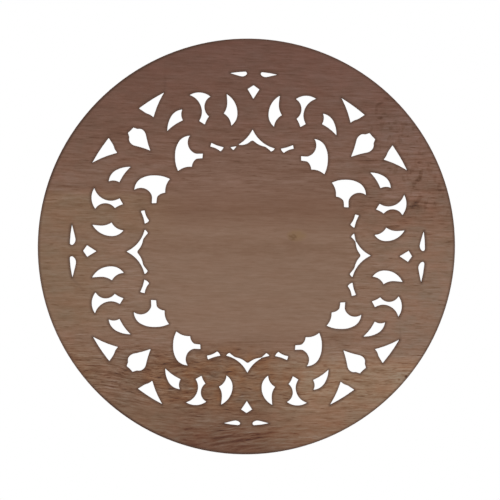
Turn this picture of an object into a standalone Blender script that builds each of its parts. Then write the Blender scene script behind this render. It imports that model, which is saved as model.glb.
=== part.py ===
"""A round pierced wooden applique: one thin walnut board with a kaleidoscope of cut-outs.

Blender works here in metres with +Z up. The board stands upright in the XZ plane as it is fixed
to a wall: its back lies on y = 0, its face looks along -Y, and the origin is the centre of the back.
"""

import math

import bmesh
import bpy
from mathutils import Matrix, Vector

MM = 0.001

DISC_DIAMETER = 305.0 * MM
DISC_THICKNESS = 1.5 * MM
RIM_SEGMENTS = 160
QUARTERS = 4

# A curved side is split until its straight pieces stay this close to the curve.
CURVE_TOLERANCE = 0.05 * MM

WALNUT_COLOUR = (0.180, 0.110, 0.075, 1.0)
WALNUT_ROUGHNESS = 0.62

# The cut-outs are not equally wide all round the disc: how far their edges lie outside the outlines
# drawn below, in millimetres, in each eighth clockwise from the top. The birds on the centre lines have
# one value for all four, and the leaves on the diagonals one each, clockwise from the top right.
EIGHTH_GROWTH = (-0.11, 0.05, 0.22, 0.15, 0.13, 0.17, -0.03, -0.08)
BIRD_GROWTH = -0.04
LEAF_GROWTH = (0.08, 0.28, 0.19, -0.45)

# The longest a pointed corner may grow, as a multiple of the growth.
LONGEST_MITRE = 2.0

# The pattern repeats in eighths. Each outline below is one cut-out, drawn in millimetres in the first
# eighth, with x to the right of the vertical centre line and z up from the disc's centre. Every row is
# a corner and the bow of the side that leaves it: above 0 the side swells out of the hole, below 0
# it dips into the hole, and 0 is straight. Corners run clockwise.

# The drops at the sides of the disc are longer and fuller than those at its top and bottom.
LONG_DROP = (
    (19.4, 128.3, 0.15),
    (9.6, 125.9, 0.85),
    (4.5, 127.5, 0.75),
    (5.3, 130.0, 0.35),
)

SHORT_DROP = (
    (17.3, 128.4, 0.1),
    (9.6, 126.35, 0.65),
    (5.15, 127.5, 0.65),
    (5.8, 129.95, 0.25),
)

CRESCENT = (
    (19.1, 114.0, -0.1),
    (18.5, 107.5, -0.65),
    (21.0, 100.1, -1.4),
    (15.4, 91.6, 1.35),
    (11.05, 101.0, 2.05),
)

BONE = (
    (30.3, 111.7, 2.5),
    (45.5, 112.3, -2.4),
    (36.4, 101.0, -0.5),
    (38.4, 94.4, 0.0),
    (34.2, 91.9, -0.35),
    (31.2, 97.8, -3.9),
)

HORN = (
    (50.1, 102.3, 1.05),
    (58.0, 97.6, 0.85),
    (60.9, 86.5, -0.75),
    (49.7, 94.5, -1.05),
)

TRIANGLE = (
    (62.9, 113.9, 0.5),
    (81.0, 102.1, 0.1),
    (75.5, 98.55, -0.45),
    (70.5, 95.9, -0.75),
)

FAN = (
    (44.5, 84.1, 1.0),
    (52.4, 80.0, 0.85),
    (55.25, 69.5, 0.75),
    (52.9, 58.6, -1.1),
    (43.0, 61.9, -0.75),
    (40.0, 67.6, -0.15),
    (35.5, 68.1, 0.0),
    (35.3, 71.6, -0.1),
    (40.4, 71.4, -3.5),
)

BAR = (
    (20.5, 76.5, -0.45),
    (29.4, 79.4, 0.15),
    (30.1, 76.5, -0.6),
    (22.8, 73.3, 0.4),
)

# Half outlines start and end on the line that mirrors them: the vertical centre line for the kite and
# the bird's wings, the diagonal for the leaf.

KITE_HALF = (
    (0.0, 120.6, 0.0),
    (4.3, 117.7, -0.1),
    (0.0, 110.9, 0.0),
)

LEAF_HALF = (
    (72.0, 72.0, -0.3),
    (75.3, 83.2, 0.7),
    (78.6, 87.9, 0.3),
    (81.9, 88.1, -0.05),
    (85.0, 89.15, 0.0),
    (86.9, 86.9, 0.0),
)

WING = (
    (0.0, 89.6, -2.45),
    (16.3, 76.5, 0.35),
    (13.7, 74.1, -0.15),
    (9.3, 77.5, 0.65),
    (1.5, 80.85, -0.2),
    (0.0, 81.6, 0.0),
)

# The left wing of three of the four birds is pinched at its neck: to these openings on the right and
# at the bottom, and shut at the top, where a short wing and a separate tip are left.
RIGHT_NECK_GAP = 0.55
BOTTOM_NECK_GAP = 0.7
NECK_X = 10.3
NECK_TOP = 78.0

SHORT_WING = (
    (0.0, 89.6, -1.2),
    (10.1, 78.5, 0.0),
    (9.0, 78.25, 0.85),
    (1.5, 80.85, -0.2),
    (0.0, 81.6, 0.0),
)

WING_TIP = (
    (11.2, 77.4, 0.0),
    (15.7, 76.6, 0.2),
    (13.4, 74.5, 0.0),
)


def pinched_wing(gap):
    """A wing whose slot narrows to the given gap before its tip."""
    return (
        (0.0, 89.6, -1.2),
        (9.7, 78.7, 0.0),
        (NECK_X, NECK_TOP, 0.0),
        (16.3, 76.5, 0.35),
        (13.7, 74.1, -0.1),
        (NECK_X, NECK_TOP - gap, 0.0),
        (9.3, 77.7, 0.65),
        (1.5, 80.85, -0.2),
        (0.0, 81.6, 0.0),
    )


def across_centre_line(x, z):
    return -x, z


def across_diagonal(x, z):
    return z, x


def close_half(half, other_half, mirror):
    """Joins a half outline to the mirror image of another; both start and end on the mirror line."""
    outline = list(half[:-1])
    for corner, (_, _, bow) in zip(reversed(other_half[1:]), reversed(other_half[:-1])):
        outline.append((*mirror(corner[0], corner[1]), bow))
    return outline


def mirror_outline(outline, mirror):
    """The mirror image of a closed outline, its corners clockwise again."""
    image = []
    for index in reversed(range(len(outline))):
        x, z, _ = outline[index]
        image.append((*mirror(x, z), outline[index - 1][2]))
    return image


def side_points(start, end, bow):
    """Points of one side, without its end: an arc whose middle stands off the chord by the bow."""
    steps = max(1, math.ceil(math.sqrt(abs(bow) * MM / CURVE_TOLERANCE)))
    chord = end - start
    if steps == 1:
        return [start]
    outward = Vector((-chord.y, chord.x)).normalized()
    half_sweep = 2 * math.atan2(2 * bow, chord.length)
    radius = chord.length / (2 * math.sin(half_sweep))
    middle = (start + end) / 2
    points = []
    for step in range(steps):
        angle = half_sweep * (2 * step / steps - 1)
        along = radius * math.sin(angle)
        height = radius * (math.cos(angle) - math.cos(half_sweep))
        points.append(middle + chord.normalized() * along + outward * height)
    return points


def outline_points(outline):
    """A closed outline as points in millimetres, from its corners and bows."""
    points = []
    for index, (x, z, bow) in enumerate(outline):
        next_x, next_z, _ = outline[(index + 1) % len(outline)]
        points += side_points(Vector((x, z)), Vector((next_x, next_z)), bow)
    return points


def grow(points, amount):
    """Moves a closed outline's points outward by the amount; they run clockwise."""
    grown = []
    for index, point in enumerate(points):
        before = (point - points[index - 1]).normalized()
        after = (points[(index + 1) % len(points)] - point).normalized()
        along = (before + after).normalized()
        mitre = min(1 / max(along.dot(after), 1 / LONGEST_MITRE), LONGEST_MITRE)
        grown.append(point + Vector((-along.y, along.x)) * amount * mitre)
    return grown


def place(points, quarter, mirrored):
    """Turns an outline clockwise to its quarter of the disc, mirrored first if asked."""
    turn = Matrix.Rotation(-math.tau * quarter / QUARTERS, 2)
    flip = Matrix(((-1, 0), (0, 1))) if mirrored else Matrix.Identity(2)
    return [turn @ flip @ point for point in points]


def bird_outlines():
    """The cut-outs of the four arched birds, from the top one clockwise, before they are turned."""
    top = [close_half(WING, SHORT_WING, across_centre_line), mirror_outline(WING_TIP, across_centre_line)]
    right = [close_half(WING, pinched_wing(RIGHT_NECK_GAP), across_centre_line)]
    bottom = [close_half(WING, pinched_wing(BOTTOM_NECK_GAP), across_centre_line)]
    left = [close_half(WING, WING, across_centre_line)]
    return top, right, bottom, left


def cut_outs():
    """Every hole of the disc as a list of points in millimetres."""
    holes = []
    drops = (SHORT_DROP, LONG_DROP, SHORT_DROP, LONG_DROP)
    kite = close_half(KITE_HALF, KITE_HALF, across_centre_line)
    leaf = close_half(LEAF_HALF, LEAF_HALF, across_diagonal)
    birds = bird_outlines()
    for quarter in range(QUARTERS):
        holes.append(place(outline_points(kite), quarter, False))
        holes.append(place(grow(outline_points(leaf), LEAF_GROWTH[quarter]), quarter, False))
        for bird in birds[quarter]:
            holes.append(place(grow(outline_points(bird), BIRD_GROWTH), quarter, False))
        for mirrored in (False, True):
            growth = EIGHTH_GROWTH[2 * quarter - mirrored]
            for outline in (drops[quarter], CRESCENT, BONE, HORN, TRIANGLE, FAN, BAR):
                holes.append(place(grow(outline_points(outline), growth), quarter, mirrored))
    return holes


def rim():
    """The disc's round edge as points in millimetres."""
    radius = DISC_DIAMETER / MM / 2
    step = math.tau / RIM_SEGMENTS
    return [Vector((radius * math.cos(n * step), radius * math.sin(n * step))) for n in range(RIM_SEGMENTS)]


def pierced_board(outlines, thickness):
    """One closed slab in the XZ plane, its back on y = 0, with every inner outline cut through."""
    shape = bmesh.new()
    for points in outlines:
        corners = [shape.verts.new((point.x * MM, 0.0, point.y * MM)) for point in points]
        for first, second in zip(corners, corners[1:] + corners[:1]):
            shape.edges.new((first, second))
    bmesh.ops.triangle_fill(shape, use_beauty=True, edges=shape.edges[:], normal=(0.0, -1.0, 0.0))
    grown = bmesh.ops.extrude_face_region(shape, geom=shape.faces[:])
    front = [item for item in grown["geom"] if isinstance(item, bmesh.types.BMVert)]
    bmesh.ops.translate(shape, verts=front, vec=(0.0, -thickness, 0.0))
    bmesh.ops.recalc_face_normals(shape, faces=shape.faces[:])
    mesh = bpy.data.meshes.new("pierced_disc")
    shape.to_mesh(mesh)
    shape.free()
    return mesh


def walnut():
    material = bpy.data.materials.new("walnut")
    material.use_nodes = True
    surface = material.node_tree.nodes["Principled BSDF"]
    surface.inputs["Base Color"].default_value = WALNUT_COLOUR
    surface.inputs["Roughness"].default_value = WALNUT_ROUGHNESS
    surface.inputs["Metallic"].default_value = 0.0
    return material


def build():
    for existing in list(bpy.data.objects):
        bpy.data.objects.remove(existing, do_unlink=True)
    mesh = pierced_board([rim(), *cut_outs()], DISC_THICKNESS)
    mesh.materials.append(walnut())
    disc = bpy.data.objects.new("pierced_disc", mesh)
    bpy.context.scene.collection.objects.link(disc)


build()
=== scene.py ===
import math

import bmesh
import bpy
from mathutils import Matrix, Vector
from mathutils.geometry import delaunay_2d_cdt
from mathutils.kdtree import KDTree


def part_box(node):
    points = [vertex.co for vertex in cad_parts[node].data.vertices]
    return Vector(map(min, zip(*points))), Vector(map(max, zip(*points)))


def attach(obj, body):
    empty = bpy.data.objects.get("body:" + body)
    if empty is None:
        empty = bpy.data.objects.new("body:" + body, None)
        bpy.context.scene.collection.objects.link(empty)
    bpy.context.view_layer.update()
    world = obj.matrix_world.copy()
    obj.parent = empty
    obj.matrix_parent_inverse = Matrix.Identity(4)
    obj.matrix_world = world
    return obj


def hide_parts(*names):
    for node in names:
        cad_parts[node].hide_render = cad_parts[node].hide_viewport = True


mm = 0.001
white = (1.0, 1.0, 1.0)

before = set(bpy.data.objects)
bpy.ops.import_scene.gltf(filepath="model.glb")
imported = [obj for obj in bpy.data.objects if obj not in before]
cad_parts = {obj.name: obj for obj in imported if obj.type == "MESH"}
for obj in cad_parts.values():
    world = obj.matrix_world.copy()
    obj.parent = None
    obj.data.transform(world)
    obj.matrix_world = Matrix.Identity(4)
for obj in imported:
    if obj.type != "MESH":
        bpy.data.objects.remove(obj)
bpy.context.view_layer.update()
print("frame loaded:", ", ".join(sorted(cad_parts)))


def srgb(red, green, blue):
    # an sRGB colour from 0 to 255, in Blender's linear values
    def linear(value):
        value = value / 255
        return value / 12.92 if value <= 0.04045 else ((value + 0.055) / 1.055) ** 2.4
    return (linear(red), linear(green), linear(blue))


class Socket:
    # one output socket; arithmetic on it adds Math nodes to its material
    def __init__(self, recipe, output):
        self.recipe = recipe
        self.output = output

    def math(self, operation, *values):
        return self.recipe.node("ShaderNodeMath", {"operation": operation}, dict(enumerate(values)))

    def __add__(self, other):
        return self.math("ADD", self, other)

    def __sub__(self, other):
        return self.math("SUBTRACT", self, other)

    def __rsub__(self, other):
        return self.math("SUBTRACT", other, self)

    def __mul__(self, other):
        return self.math("MULTIPLY", self, other)

    def __truediv__(self, other):
        return self.math("DIVIDE", self, other)

    def __rtruediv__(self, other):
        return self.math("DIVIDE", other, self)

    def __pow__(self, other):
        return self.math("POWER", self, other)

    def __rpow__(self, other):
        return self.math("POWER", other, self)

    __radd__ = __add__
    __rmul__ = __mul__

    def rise(self, low, high):
        # 0 up to low, 1 from high on, smooth between; low above high makes it fall
        return self.recipe.node("ShaderNodeMapRange", {"interpolation_type": "SMOOTHSTEP"},
                                {"Value": self, "From Min": low, "From Max": high})


class Recipe:
    # a material, and the one way its nodes are added
    def __init__(self, name):
        self.material = bpy.data.materials.new(name)
        self.material.use_nodes = True
        self.tree = self.material.node_tree
        self.surface = self.tree.nodes["Principled BSDF"]

    def feed(self, target, value):
        if isinstance(value, Socket):
            self.tree.links.new(value.output, target)
        elif target.type == "RGBA":
            target.default_value = (*value, 1.0)
        else:
            target.default_value = value

    def node(self, kind, settings=None, inputs=None, out=0):
        made = self.tree.nodes.new(kind)
        for name, value in (settings or {}).items():
            if name == "stops":
                self.setStops(made.color_ramp, value)
            else:
                setattr(made, name, value)
        for name, value in (inputs or {}).items():
            self.feed(made.inputs[name], value)
        return Socket(self, made.outputs[out])

    def setStops(self, ramp, stops):
        while len(ramp.elements) < len(stops):
            ramp.elements.new(1.0)
        for element, (position, colour) in zip(ramp.elements, stops):
            element.position = position
            element.color = (*colour, 1.0)

    def paint(self, **sockets):
        # Base_Color stands for the shader's socket Base Color
        for name, value in sockets.items():
            self.feed(self.surface.inputs[name.replace("_", " ")], value)

    def vector(self, x, y, z):
        return self.node("ShaderNodeCombineXYZ", None, {"X": x, "Y": y, "Z": z})

    def noise(self, where, detail, roughness):
        return self.node("ShaderNodeTexNoise", None, {"Vector": where, "Scale": 1.0, "Detail": detail,
                                                      "Roughness": roughness})

    def ramp(self, factor, stops):
        return self.node("ShaderNodeValToRGB", {"stops": stops}, {"Fac": factor})

    def mix(self, factor, first, second, blend="MIX"):
        # a Mix node's colours are its sockets 6 and 7, and its mixed colour is output 2
        return self.node("ShaderNodeMix", {"data_type": "RGBA", "blend_type": blend},
                         {0: factor, 6: first, 7: second}, out=2)


# the board: its outlines come from the CAD frame, its fine edges are made here

board = {
    "weld": 0.001 * mm,  # points nearer to each other than this count as one
    "faceWeld": 0.000001 * mm,  # and these in the triangles of a face
    "cornerTurn": 36.0,  # degrees; a sharper turn is a real corner of the cut
    "cornerRound": 0.45 * mm,  # how far from such a corner its rounding starts
    "arcStep": 8.0,  # degrees of turn per short edge
    "shortestEdge": 0.02 * mm,
    "longestEdge": 0.55 * mm,
    "arris": 0.12 * mm,  # the fine worn edge between a face and a cut
    "edgeHeat": 1.0,  # scorch where a face meets a cut
    "wallHeat": 2.0,  # and inside the cut
    "scorchRows": (  # beside a cut: distance from it, spacing, heat
        (0.35 * mm, 0.6 * mm, 0.95), (0.8 * mm, 0.9 * mm, 0.80),
        (1.4 * mm, 1.4 * mm, 0.35), (2.3 * mm, 2.3 * mm, 0.0)),
    "clearShare": 0.86,  # such a point stays if no cut is nearer than this share of its distance
}


def frontLoops(node):
    # the closed outlines of the front face as lists of (x, z), with the wood on their left
    shape = bmesh.new()
    shape.from_mesh(node.data)
    bmesh.ops.remove_doubles(shape, verts=shape.verts[:], dist=board["weld"])
    front = min(vert.co.y for vert in shape.verts)

    def lies(face):
        return all(abs(vert.co.y - front) < board["weld"] for vert in face.verts)

    following = {}
    for face in shape.faces:
        if lies(face):
            for corner in face.loops:
                if not all(lies(other) for other in corner.edge.link_faces):
                    following[corner.vert] = corner.link_loop_next.vert
    loops = []
    while following:
        start, step = following.popitem()
        ring = [start]
        while step is not start:
            ring.append(step)
            step = following.pop(step)
        loops.append([Vector((vert.co.x, vert.co.z)) for vert in ring])
    shape.free()
    return loops


def smoothLoop(points):
    # rounds every corner of an outline: all of a bend, but only the very tip of a real corner
    curve = []
    for i, corner in enumerate(points):
        before = corner - points[i - 1]
        after = points[(i + 1) % len(points)] - corner
        turn = math.degrees(abs(before.angle_signed(after)))
        reach = min(before.length, after.length) / 2
        if turn > board["cornerTurn"]:
            reach = min(reach, board["cornerRound"])
        begin = corner - before.normalized() * reach
        end = corner + after.normalized() * reach
        pieces = max(1, math.ceil(turn / board["arcStep"]))
        for k in range(pieces + 1):
            t = k / pieces
            curve.append(begin * (1 - t) ** 2 + corner * 2 * t * (1 - t) + end * t * t)
    curve = [point for i, point in enumerate(curve)
             if (point - curve[i - 1]).length > board["shortestEdge"]]
    divided = []
    for i, point in enumerate(curve):
        following = curve[(i + 1) % len(curve)]
        pieces = max(1, math.ceil((following - point).length / board["longestEdge"]))
        divided += [point.lerp(following, k / pieces) for k in range(pieces)]
    return divided


def intoWood(points):
    # for each point of an outline, the direction into the wood
    ways = []
    for i, point in enumerate(points):
        before = (point - points[i - 1]).normalized()
        after = (points[(i + 1) % len(points)] - point).normalized()
        along = (before + after).normalized()
        ways.append(Vector((-along.y, along.x)))
    return ways


def besideCuts(loops, ways):
    # rows of points near every cut, each with its heat, where no other cut is nearer
    tree = KDTree(sum(len(points) for points in loops))
    for point in (point for points in loops for point in points):
        tree.insert((point.x, point.y, 0), 0)
    tree.balance()
    kept = []
    for distance, spacing, heat in board["scorchRows"]:
        for points, directions in zip(loops, ways):
            last = points[0]
            for point, way in zip(points, directions):
                spot = point + way * distance
                clear = tree.find((spot.x, spot.y, 0))[2] > board["clearShare"] * distance
                if clear and (spot - last).length >= spacing:
                    kept.append((spot, heat))
                    last = spot
    return kept


def faceTriangles(loops, extra):
    # triangles between the outlines and the extra points, none of them across a hole
    points = []
    edges = []
    owner = []
    for number, ring in enumerate(loops):
        first = len(points)
        points += ring
        owner += [number] * len(ring)
        edges += [(first + k, first + (k + 1) % len(ring)) for k in range(len(ring))]
    points += extra
    owner += [-1] * len(extra)
    flat, _, triangles, _, _, _ = delaunay_2d_cdt(points, edges, [], 0, board["faceWeld"])
    kept = []
    for corners in triangles:
        a, b, c = sorted(corners)
        sameOutline = owner[a] == owner[b] == owner[c] != -1
        clockwise = (flat[b] - flat[a]).cross(flat[c] - flat[a]) < 0
        if not (sameOutline and clockwise):
            kept.append(corners)
    return kept


def makeDisc(name):
    low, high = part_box("pierced_disc")
    front, back = low.y, high.y
    loops = [smoothLoop(points) for points in frontLoops(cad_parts["pierced_disc"])]
    ways = [intoWood(points) for points in loops]
    arris, edgeHeat, wallHeat = board["arris"], board["edgeHeat"], board["wallHeat"]
    # each ring goes round all cuts: depth, how far into the wood, and the heat there
    rings = ((front, arris, edgeHeat), (front + arris, 0.0, wallHeat),
             (back - arris, 0.0, wallHeat), (back, arris, edgeHeat))
    shape = bmesh.new()
    scorch = shape.verts.layers.float.new("scorch")

    def addVert(x, y, z, heat):
        vert = shape.verts.new((x, y, z))
        vert[scorch] = heat
        return vert

    ringVerts = []
    for depth, inset, heat in rings:
        around = []
        for points, directions in zip(loops, ways):
            for point, way in zip(points, directions):
                spot = point + way * inset
                around.append(addVert(spot.x, depth, spot.y, heat))
        ringVerts.append(around)
    first = 0
    for points in loops:
        count = len(points)
        for outer, inner in zip(ringVerts, ringVerts[1:]):
            for k in range(count):
                a, b = first + k, first + (k + 1) % count
                wall = shape.faces.new((outer[b], outer[a], inner[a], inner[b]))
                wall.smooth = True
        first += count
    edged = [[point + way * arris for point, way in zip(points, directions)]
             for points, directions in zip(loops, ways)]
    beside = besideCuts(loops, ways)
    triangles = faceTriangles(edged, [spot for spot, _ in beside])
    for depth, around in ((front, ringVerts[0]), (back, ringVerts[-1])):
        verts = around + [addVert(spot.x, depth, spot.y, heat) for spot, heat in beside]
        for a, b, c in triangles:
            order = (a, b, c) if depth == front else (a, c, b)
            shape.faces.new([verts[i] for i in order])
    mesh = bpy.data.meshes.new(name)
    shape.to_mesh(mesh)
    shape.free()
    disc = bpy.data.objects.new(name, mesh)
    bpy.context.scene.collection.objects.link(disc)
    print("board:", len(loops), "outlines,", len(mesh.vertices), "points,", len(mesh.polygons), "faces")
    return disc


# the wood: flat-sawn walnut with its grain lying across, measured in millimetres from the disc's centre

walnut = {
    "tones": (  # height on the disc, colour
        (-150, srgb(93, 59, 39)), (-136, srgb(107, 76, 56)), (-125, srgb(109, 78, 57)),
        (-115, srgb(110, 80, 59)), (-104, srgb(116, 87, 67)), (-84, srgb(112, 81, 60)),
        (-70, srgb(120, 90, 71)), (-56, srgb(126, 97, 78)), (-30, srgb(125, 97, 78)),
        (14, srgb(123, 94, 75)), (33, srgb(113, 81, 62)), (50, srgb(115, 84, 67)),
        (95, srgb(105, 73, 58)), (150, srgb(97, 63, 50))),
    "toneDrift": 8.0,  # how far the heights of the tones wander
    "footTones": (  # the paler wood at the right of the foot
        (-150, srgb(121, 88, 65)), (-120, srgb(128, 97, 74)), (-103, srgb(136, 107, 83)),
        (-84, srgb(138, 108, 85)), (-74, srgb(129, 100, 81))),
    "footTonesFrom": (-12, 58),  # where they begin and are full, from left to right
    "footTonesDrift": 20.0,
    "washes": (  # tones laid over the wood: zone, strength, tone
        ("leftFootRim", 0.5, "leftFootTone"), ("lowerLeft", 0.6, "leftTone"),
        ("leftMiddle", 1.0, "leftTone"), ("leftRim", 1.0, "leftRimTone")),
    "leftTone": srgb(120, 91, 69),
    "leftRimTone": srgb(121, 93, 71),
    "leftFootTone": srgb(125, 88, 60),
    "flameTone": srgb(116, 76, 42),
    "flameGlow": (-22.0, -93.0, 78.0, 31.0),  # an oval: middle, half width, half height
    "knotSwirl": (31.4, 14.2, 13.0, 7.0),  # ovals too; the grain parts around this one
    "knotTan": (34.0, 14.0, 9.0, 5.5),
    "knotBrown": (30.8, 12.8, 4.2, 3.2),
    "knotPull": 0.7,  # how far the grain is drawn out of the knot
    "knotTanTone": srgb(124, 95, 65),
    "knotBrownTone": srgb(106, 77, 50),
    "scorchBrown": srgb(69, 41, 24),
    "charBrown": srgb(82, 46, 22),
    "drift": 6.0,  # how far the grain lines wander
    "broadDepth": 0.09,
    "streakDepth": 0.34,
    "lineDepth": 0.82,
    "poreDepth": 0.36,
    "tickDepth": 0.36,
    "threadDepth": 0.26,
    "fleckDepth": 0.18,
    "topTilt": 0.0007,  # how much paler the top gets with each millimetre to the right
    "hueShift": 0.08,  # how much warmer or cooler the wood gets in patches
    "roughness": 0.64,
    "specular": 0.35,
    "reliefHeight": 0.03 * mm,
    "reliefStrength": 0.5,
    "figures": {  # noises: width, depth, height, seed, detail, roughness
        "slow": (120, 60, 55, 1.7, 2, 0.5),
        "quick": (34, 40, 22, 8.3, 2, 0.5),
        "ripple": (8, 40, 9, 2.9, 2, 0.5),
        "patches": (17, 30, 9, 12.6, 3, 0.6),
        "broad": (42, 30, 11, 4.1, 3, 0.5),
        "middle": (34, 4, 3.2, 2.6, 3, 0.6),
        "fine": (11, 4, 1.0, 5.9, 3, 0.65),
        "pores": (4, 4, 0.36, 9.4, 2, 0.55),
        "ticks": (8.5, 4, 0.9, 11.8, 1, 0.5),
        "strands": (20, 4, 1.6, 14.2, 1, 0.55),
        "broken": (7, 4, 2.6, 17.3, 2, 0.55),
        "flecks": (4.5, 4, 7.5, 3.2, 2, 0.6),
        "ragged": (3.5, 4, 1.6, 6.6, 2, 0.6)},
    "onsets": {  # the levels of its noise between which a figure sets in
        "pores": (0.2, 0.55),
        "ticks": (0.26, 0.50),
        "threads": (0.12, 0.0),
        "broken": (-0.12, 0.22),
        "flecks": (0.08, 0.32),
        "ragged": (0.30, 0.62)},
    "zones": {  # measured along what, where it begins, where it is full
        "foot": (("z", -60, -84),),
        "footTones": (("z", -61, -73),),
        "lowest": (("z", -122, -134),),
        "upper": (("z", 50, 90),),
        "high": (("z", 70, 110),),
        "top": (("z", 95, 130),),
        "outside": (("radius", 62, 96),),
        "rim": (("radius", 144, 150),),
        "rightSide": (("x", 66, 116),),
        "rightAboveFoot": (("x", 66, 116), ("z", -84, -60)),
        "upperRight": (("x", 66, 116), ("z", 0, 45)),
        "upperMiddle": (("z", 36, 56), ("radius", 98, 70)),
        "upperLeft": (("z", 62, 84), ("x", 0, -50)),
        "flecked": (("radius", 112, 124), ("x", 70, 96), ("z", 18, 40), ("z", 112, 92)),
        "evenSides": (("radius", 62, 96), ("z", 34, 22), ("z", -66, -54)),
        "evenRim": (("radius", 96, 124), ("z", 34, 22), ("z", -66, -54)),
        "leftMiddle": (("x", -40, -90), ("z", 46, 38), ("z", 6, 18)),
        "leftRim": (("x", -85, -125), ("z", -66, -50), ("z", 14, 0)),
        "leftFootRim": (("x", -92, -128), ("z", -58, -76)),
        "lowerLeft": (("x", -42, -78), ("z", -108, -125)),
        "leftCalm": (("x", -28, -70), ("z", -103, -119)),
        "leftFoot": (("z", -60, -84), ("x", 30, -40), ("z", -122, -108)),
        "leftClimb": (("z", -60, -84), ("x", -50, -125)),
        "rimClimb": (("z", -116, -138), ("x", -40, 20)),
        "wildFoot": (("z", -60, -84), ("x", -112, -66)),
        "burning": (("z", -64, -76), ("z", -116, -100), ("x", 30, -14)),
        "wildBurning": (("z", -64, -76), ("z", -116, -100), ("x", 30, -14), ("x", -112, -66)),
        "footRight": (("z", -60, -84), ("x", -10, 50)),
        "footFarRight": (("z", -60, -84), ("x", 50, 80)),
        "slowCutLeft": (("radius", 144, 150), ("z", 20, 60), ("x", -10, -50)),
        "slowCutBelow": (("radius", 144, 150), ("z", -90, -125), ("x", 40, 10))},
    "spreads": {  # values that change over the disc: their start, and what each zone adds
        "quickDrift": (1.2, {"foot": 1.44, "wildFoot": 2.16}),
        "rippleDrift": (0.5, {"foot": 0.7, "wildBurning": 2.0}),
        "climb": (0.0, {"leftClimb": 8.0, "rimClimb": 9.0}),
        "lively": (0.27, {"outside": 0.30, "upperMiddle": 0.24, "foot": 0.42, "footRight": -0.28,
                          "upperRight": 0.30, "evenRim": -0.13, "top": -0.10, "upperLeft": -0.09,
                          "leftCalm": -0.46}),
        "ticked": (0.14, {"outside": 0.56, "upperMiddle": 0.5, "foot": 0.40, "rightSide": 0.20,
                          "leftFoot": 0.6, "high": -0.26, "leftCalm": -0.3}),
        "streaked": (1.0, {"leftFoot": -0.6, "evenSides": -0.4, "footFarRight": -0.3}),
        "lined": (1.0, {"leftFoot": 0.4}),
        "threaded": (0.0, {"burning": 1.0, "foot": 0.35}),
        "patchy": (0.3, {"outside": 1.0, "foot": 0.45, "rightAboveFoot": 0.7}),
        "greenFall": (1.42, {"outside": 0.06, "foot": 0.12, "lowest": 0.35}),
        "blueFall": (1.95, {"outside": 0.2, "foot": 0.15, "lowest": 0.65}),
        "burn": (0.62, {"rim": 0.18, "slowCutLeft": 0.60, "slowCutBelow": 0.60})},
    "bandDrift": 2.0,  # how far the bands wander from the grain lines
    "bandEnd": 16.0,  # the length over which a band begins or ends
    "bands": (  # height, left end, right end, half thickness, depth; a depth below 0 is paler
        (61.0, -60.0, 60.0, 3.5, 0.05),
        (54.0, -60.0, 60.0, 3.0, -0.06),
        (46.0, -160.0, -84.0, 1.2, 0.14),
        (31.0, -90.0, 84.0, 4.5, 0.06),
        (17.0, -70.0, 40.0, 5.0, -0.05),
        (4.0, -90.0, 84.0, 6.5, 0.08),
        (40.0, 84.0, 150.0, 0.8, 0.16),
        (36.0, 96.0, 138.0, 0.9, 0.18),
        (-67.0, -30.0, 48.0, 1.0, 0.15),
        (-64.0, -150.0, -96.0, 1.1, 0.13),
        (46.0, 84.0, 160.0, 5.0, -0.05),
        (29.0, 96.0, 160.0, 6.0, 0.03),
        (-41.0, 92.0, 160.0, 9.0, -0.04)),
    "longMark": 9.0,  # marks whose half length reaches this are less ragged
    "marks": (  # middle, half length, half thickness, slope, depth
        (31.0, 8.2, 9.0, 4.0, 0.0, 0.08),
        (119.5, 38.0, 4.5, 2.4, 0.5, 0.36),
        (122.0, 36.4, 6.5, 4.8, 0.0, 0.18),
        (122.2, 56.4, 3.4, 2.0, 0.25, 0.50),
        (123.6, 60.2, 1.8, 3.0, 0.0, 0.14),
        (123.2, 69.0, 3.2, 1.5, 0.0, 0.28),
        (135.0, 49.5, 12.0, 0.9, 0.0, 0.28),
        (91.4, 110.2, 3.2, 1.6, 0.35, 0.38),
        (88.9, 105.4, 1.6, 5.6, 0.0, 0.20),
        (91.8, 100.3, 3.2, 1.6, 0.0, 0.38),
        (94.8, 103.0, 2.8, 1.2, 0.0, 0.22),
        (102.9, 97.1, 2.2, 1.5, 0.0, 0.26),
        (100.0, 93.0, 2.6, 1.4, 0.0, 0.22),
        (96.0, 114.2, 3.0, 1.5, 0.0, 0.22),
        (84.5, 69.4, 9.5, 0.9, 0.0, 0.42),
        (97.5, 69.6, 5.5, 1.0, 0.0, 0.34),
        (104.5, 21.4, 7.0, 1.9, 0.1, 0.34),
        (84.8, -95.3, 9.0, 0.9, 0.0, 0.40),
        (108.0, -95.1, 6.0, 0.9, 0.0, 0.24),
        (101.0, -86.6, 4.5, 1.0, 0.0, 0.36),
        (120.2, -91.3, 1.7, 1.5, 0.0, 0.85),
        (118.0, -90.2, 2.6, 0.8, -0.3, 0.30),
        (114.8, -93.8, 1.4, 1.0, 0.0, 0.45),
        (-68.4, -100.5, 14.0, 11.0, 0.0, 0.14),
        (-49.3, -81.6, 12.0, 10.0, 0.0, 0.14),
        (8.0, -120.0, 18.0, 10.0, 0.0, 0.09),
        (-12.0, -91.0, 13.0, 18.0, 0.0, -0.07),
        (-105.0, -101.0, 15.0, 11.0, 0.0, -0.06),
        (63.0, -120.0, 13.0, 11.0, 0.0, -0.05),
        (62.0, -124.0, 6.0, 0.9, 0.0, 0.34),
        (72.5, -129.0, 7.0, 0.9, 0.0, 0.28),
        (0.0, -137.2, 28.0, 1.8, 0.09, 0.44),
        (-5.0, -141.6, 31.0, 1.7, 0.17, 0.50),
        (-18.0, -139.4, 14.0, 1.0, 0.12, 0.24),
        (4.0, -145.5, 15.0, 1.2, 0.08, 0.26),
        (-40.0, -144.5, 7.0, 1.6, -0.1, 0.34)),
}


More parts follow.
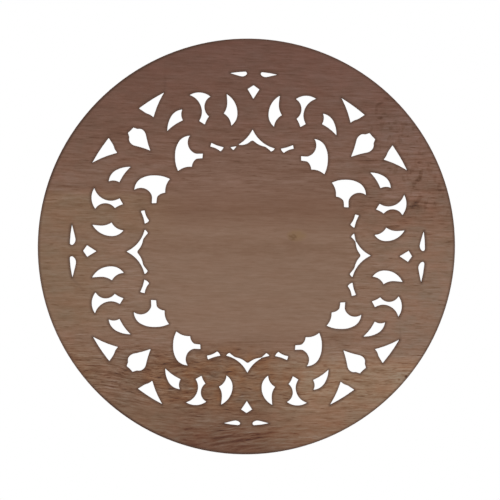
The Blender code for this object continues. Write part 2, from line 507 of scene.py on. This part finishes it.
def walnutWood():
    wood = Recipe("walnutWood")
    place = wood.node("ShaderNodeTexCoord", out="Object")
    split = wood.node("ShaderNodeSeparateXYZ", None, {0: place})
    x, y, z = (Socket(wood, output) * (1 / mm) for output in split.output.node.outputs)
    measured = {"x": x, "z": z, "radius": (x * x + z * z) ** 0.5}
    onsets = walnut["onsets"]

    def within(limits):
        # 1 inside the limits, 0 outside them, smooth between
        masks = [measured[along].rise(begin, full) for along, begin, full in limits]
        return math.prod(masks[1:], start=masks[0])

    zone = {name: within(limits) for name, limits in walnut["zones"].items()}

    def spread(name):
        # a value that changes from zone to zone
        start, shares = walnut["spreads"][name]
        return sum((zone[where] * share for where, share in shares.items()), start)

    def oval(middleX, middleZ, halfWide, halfHigh, slope=0.0):
        # 1 in its middle, 0 from its edge on
        aside = x - middleX
        up = (z - middleZ - aside * slope) / halfHigh
        return (aside * aside / halfWide ** 2 + up * up).rise(1.0, 0.0)

    def figure(name, height):
        # one of the noises, 0 to 1, drawn out along the lines of equal height
        wide, deep, high, seed, detail, roughness = walnut["figures"][name]
        return wood.noise(wood.vector(x / wide, y / deep + seed, height / high), detail, roughness)

    # grain lines wander slowly, climb to both sides at the foot and part around the knot
    slow = figure("slow", z) - 0.5
    quick = figure("quick", z) - 0.5
    ripple = figure("ripple", z) - 0.5
    pulled = (z - walnut["knotSwirl"][1]) * oval(*walnut["knotSwirl"]) * walnut["knotPull"]
    grain = (z + slow * walnut["drift"] + quick * spread("quickDrift") + ripple * spread("rippleDrift")
             - spread("climb") - pulled)

    def streaks(name):
        # a noise along the grain, -1 to 1
        return figure(name, grain) * 2 - 1

    def tonesAlong(tones, height):
        low, high = tones[0][0], tones[-1][0]
        stops = [((level - low) / (high - low), colour) for level, colour in tones]
        return wood.ramp((height - low) / (high - low), stops)

    # tone by height, the paler foot, and the washes
    toneHeight = z + slow * walnut["toneDrift"]
    colour = tonesAlong(walnut["tones"], toneHeight)
    pale = tonesAlong(walnut["footTones"], toneHeight)
    fromLeft = (x + quick * walnut["footTonesDrift"]).rise(*walnut["footTonesFrom"])
    colour = wood.mix(fromLeft * zone["footTones"], colour, pale)
    for where, strength, tone in walnut["washes"]:
        colour = wood.mix(zone[where] * strength, colour, walnut[tone])
    patches = figure("patches", z) * 2 - 1
    glow = oval(*walnut["flameGlow"]) * (patches * 0.9 + 0.5).rise(0, 1)
    colour = wood.mix(glow, colour, walnut["flameTone"])

    # the figure is calm in the middle, and strong at the foot and on the right
    lively = spread("lively")
    middle = streaks("middle") * spread("streaked")
    fine = streaks("fine")
    pores = streaks("pores").rise(*onsets["pores"])
    ticks = streaks("ticks").rise(*onsets["ticks"])
    shade = (1 + x * zone["upper"] * walnut["topTilt"]
             + streaks("broad") * walnut["broadDepth"] * (lively * 0.7 + 0.3)
             + middle * lively * walnut["streakDepth"]
             + fine * lively * spread("lined") * walnut["lineDepth"]
             - pores * walnut["poreDepth"] * (lively + 0.2)
             - ticks * spread("ticked") * walnut["tickDepth"])

    # thin wavy threads at the foot, closest in its left half
    strands = streaks("strands")
    threads = strands.math("ABSOLUTE", strands).rise(*onsets["threads"])
    broken = streaks("broken").rise(*onsets["broken"])
    shade = shade - (threads * broken - 0.1) * spread("threaded") * walnut["threadDepth"]

    # short flecks across the grain near the right rim
    flecks = (figure("flecks", z) * 2 - 1).rise(*onsets["flecks"])
    shade = shade - flecks * zone["flecked"] * walnut["fleckDepth"]

    # bands along the grain, and single marks
    ragged = 0.5 + figure("ragged", z).rise(*onsets["ragged"]) * 0.5
    lessRagged = ragged * 0.4 + 0.6
    bandHeight = grain + quick * walnut["bandDrift"]
    for height, left, right, halfThick, depth in walnut["bands"]:
        off = (bandHeight - height) / halfThick
        ends = x.rise(left, left + walnut["bandEnd"]) * x.rise(right, right - walnut["bandEnd"])
        shade = shade - (off * off).rise(1.0, 0.0) * ends * ragged * depth
    for middleX, middleZ, halfLong, halfThick, slope, depth in walnut["marks"]:
        worn = ragged if halfLong < walnut["longMark"] else lessRagged
        shade = shade - oval(middleX, middleZ, halfLong, halfThick, slope) * worn * depth

    # what is darker is redder too
    warm = patches * spread("patchy") * walnut["hueShift"]
    tint = wood.vector(shade * (1 + warm), shade ** spread("greenFall") * (1 - warm * 0.4),
                       shade ** spread("blueFall") * (1 - warm))
    toned = wood.mix(1.0, colour, tint, "MULTIPLY")

    # the knot
    toned = wood.mix(oval(*walnut["knotTan"]) * ragged * 0.9, toned, walnut["knotTanTone"])
    speck = (oval(*walnut["knotBrown"]) * (ragged * 2 - 0.9)).rise(0, 1)
    toned = wood.mix(speck, toned, walnut["knotBrownTone"])

    # cut edges, darkest where the cut was slow: on the rim's upper left and under the foot
    heat = wood.node("ShaderNodeAttribute", {"attribute_name": "scorch"}, out="Fac")
    faceHeat = heat.math("MINIMUM", heat, board["edgeHeat"])
    scorched = wood.mix(faceHeat * spread("burn"), toned, walnut["scorchBrown"])
    wallOnly = heat.rise(board["edgeHeat"], board["wallHeat"])
    charred = wood.mix(wallOnly, scorched, walnut["charBrown"])

    relief = fine * 0.3 + middle * 0.2 - pores - ticks * 0.4
    bump = wood.node("ShaderNodeBump", None, {"Height": relief, "Distance": walnut["reliefHeight"],
                                              "Strength": walnut["reliefStrength"]})
    wood.paint(Base_Color=charred, Roughness=walnut["roughness"] - fine * 0.12 + pores * 0.1,
               Specular_IOR_Level=walnut["specular"], Normal=bump)
    return wood.material


# surroundings

studio = {
    "floorDrop": 0.75,
    "floorRadius": 0.95,
    "floorSides": 96,
    "floorColour": srgb(244, 243, 240),
    "floorRoughness": 0.8,
    "floorFade": (0.3, 0.95),  # between which shares of its radius the floor turns white
    "roomLight": 1.0,
    "keyPlace": (-0.55, -0.95, 0.85),
    "keySize": 0.9,
    "keyPower": 2.0,
}


def makeFloor():
    radius = studio["floorRadius"]
    shape = bmesh.new()
    bmesh.ops.create_circle(shape, cap_ends=True, segments=studio["floorSides"], radius=radius)
    mesh = bpy.data.meshes.new("studioFloor")
    shape.to_mesh(mesh)
    shape.free()
    floor = bpy.data.objects.new("studioFloor", mesh)
    floor.location.z = -studio["floorDrop"]
    bpy.context.scene.collection.objects.link(floor)
    paper = Recipe("floorPaper")
    place = paper.node("ShaderNodeTexCoord", out="Object")
    reach = paper.node("ShaderNodeVectorMath", {"operation": "LENGTH"}, {0: place}, out="Value")
    fade = reach.rise(*(radius * share for share in studio["floorFade"]))
    paper.paint(Base_Color=paper.mix(fade, studio["floorColour"], white),
                Roughness=studio["floorRoughness"])
    mesh.materials.append(paper.material)


def makeLights():
    world = bpy.data.worlds.new("whiteRoom")
    world.use_nodes = True
    room = world.node_tree.nodes["Background"]
    room.inputs["Color"].default_value = (*white, 1.0)
    room.inputs["Strength"].default_value = studio["roomLight"]
    bpy.context.scene.world = world
    lamp = bpy.data.lights.new("softKey", "AREA")
    lamp.shape = "DISK"
    lamp.size = studio["keySize"]
    lamp.energy = studio["keyPower"]
    key = bpy.data.objects.new("softKey", lamp)
    key.location = studio["keyPlace"]
    key.rotation_euler = (-Vector(studio["keyPlace"])).to_track_quat("-Z", "Y").to_euler()
    bpy.context.scene.collection.objects.link(key)
    bpy.context.scene.view_settings.view_transform = "Standard"


view = {
    "place": (-0.01965, -0.40562, 0.04049),
    "aim": (0.00006, 0.001, 0.00254),
    "roll": 1.23,  # degrees
    "lens": 40.08,  # millimetres, as the sensor is
    "sensor": 36.0,
    "nearest": 0.01,  # where the camera begins to see
}


def makeCamera():
    camera = bpy.data.cameras.new("photoCamera")
    camera.lens = view["lens"]
    camera.sensor_width = view["sensor"]
    camera.clip_start = view["nearest"]
    photoCamera = bpy.data.objects.new("photoCamera", camera)
    sight = Vector(view["aim"]) - Vector(view["place"])
    turn = sight.to_track_quat("-Z", "Y").to_matrix().to_4x4()
    roll = Matrix.Rotation(math.radians(view["roll"]), 4, "Z")
    photoCamera.matrix_world = Matrix.Translation(view["place"]) @ turn @ roll
    bpy.context.scene.collection.objects.link(photoCamera)
    bpy.context.scene.camera = photoCamera


disc = makeDisc("walnutDisc")
disc.data.materials.append(walnutWood())
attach(disc, "root")
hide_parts("pierced_disc")
print("disc dressed")
makeFloor()
makeLights()
makeCamera()
print("studio ready")
